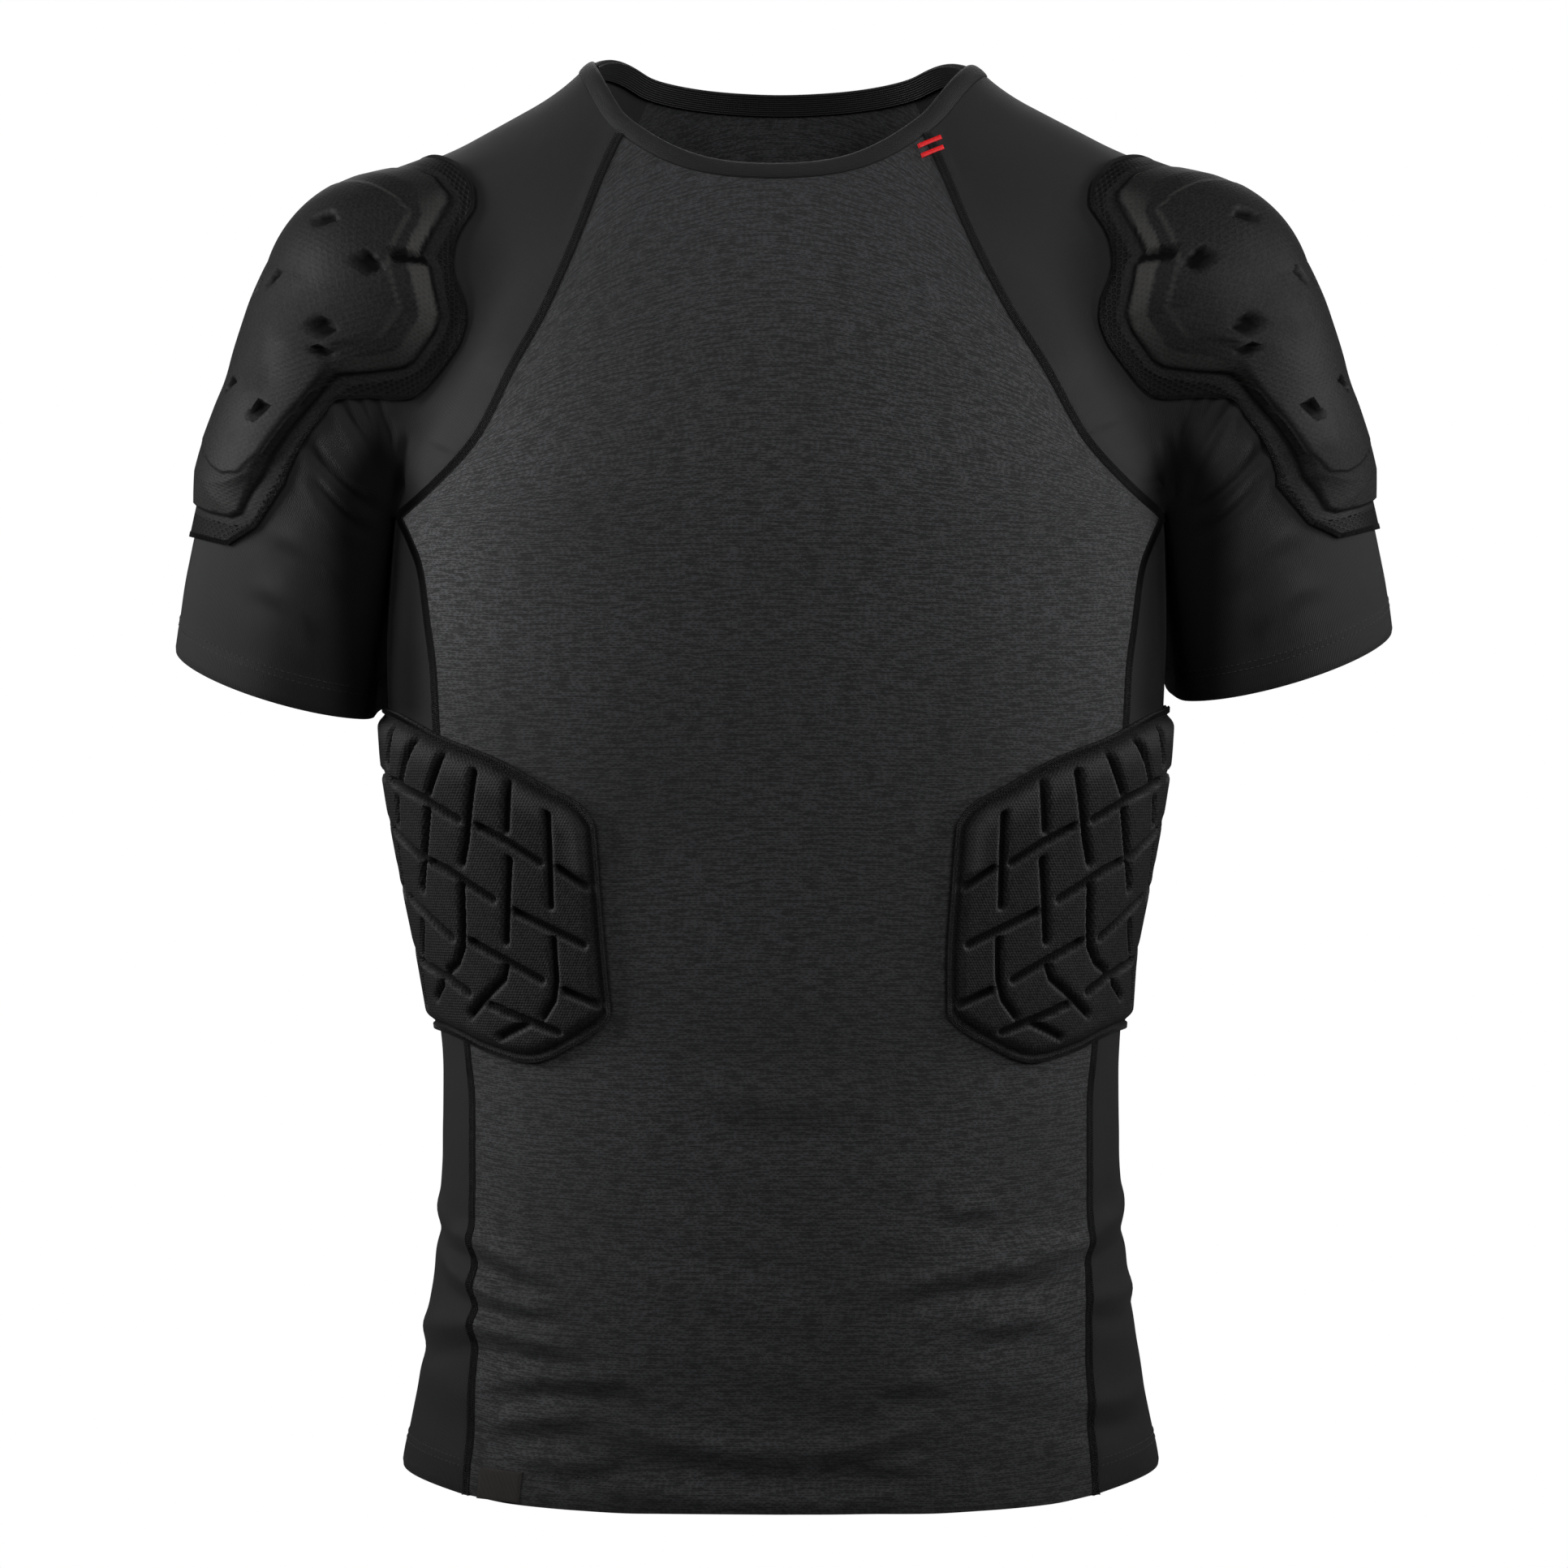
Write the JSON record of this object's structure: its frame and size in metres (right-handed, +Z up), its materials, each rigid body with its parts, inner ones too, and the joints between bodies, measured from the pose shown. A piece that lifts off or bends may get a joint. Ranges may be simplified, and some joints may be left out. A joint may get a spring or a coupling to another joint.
{
  "type": "padded compression shirt",
  "caption": "Close-fitting short raglan-sleeved sports shirt with moulded shoulder and rib pads, in its worn shape with nobody in it.",
  "frame": {"origin": "middle of the neckline, level with the highest points of the shoulders beside the collar, where the wearer's shoulders hold the shirt", "axes": "+Z up towards the neck, -Y out of the front, +X to the right of someone who looks at the front"},
  "size_m": [0.6028, 0.234, 0.7065],
  "materials": {
    "textured_knit": "charcoal knit with fine staggered dashes, matt with a faint sheen",
    "smooth_knit": "fine smooth stretch knit, soft sheen",
    "binding_knit": "fine smooth stretch knit, soft sheen",
    "neck_tape": "flat black woven tape",
    "moulded_pad": "foam moulded under fine knit, edges pressed flat",
    "woven_label": "plain dark woven label"
  },
  "bodies": {
    "root": {"front_panel": "textured_knit", "back_panel": "textured_knit", "side_panel_L": "smooth_knit", "side_panel_R": "smooth_knit", "sleeve_L": "smooth_knit", "sleeve_R": "smooth_knit", "collar_binding": "binding_knit", "neck_tape": "neck_tape", "hem_label": "woven_label", "shoulder_pad_L": "moulded_pad", "shoulder_pad_R": "moulded_pad", "rib_pad_L": "moulded_pad", "rib_pad_R": "moulded_pad"}
  },
  "joints": []
}
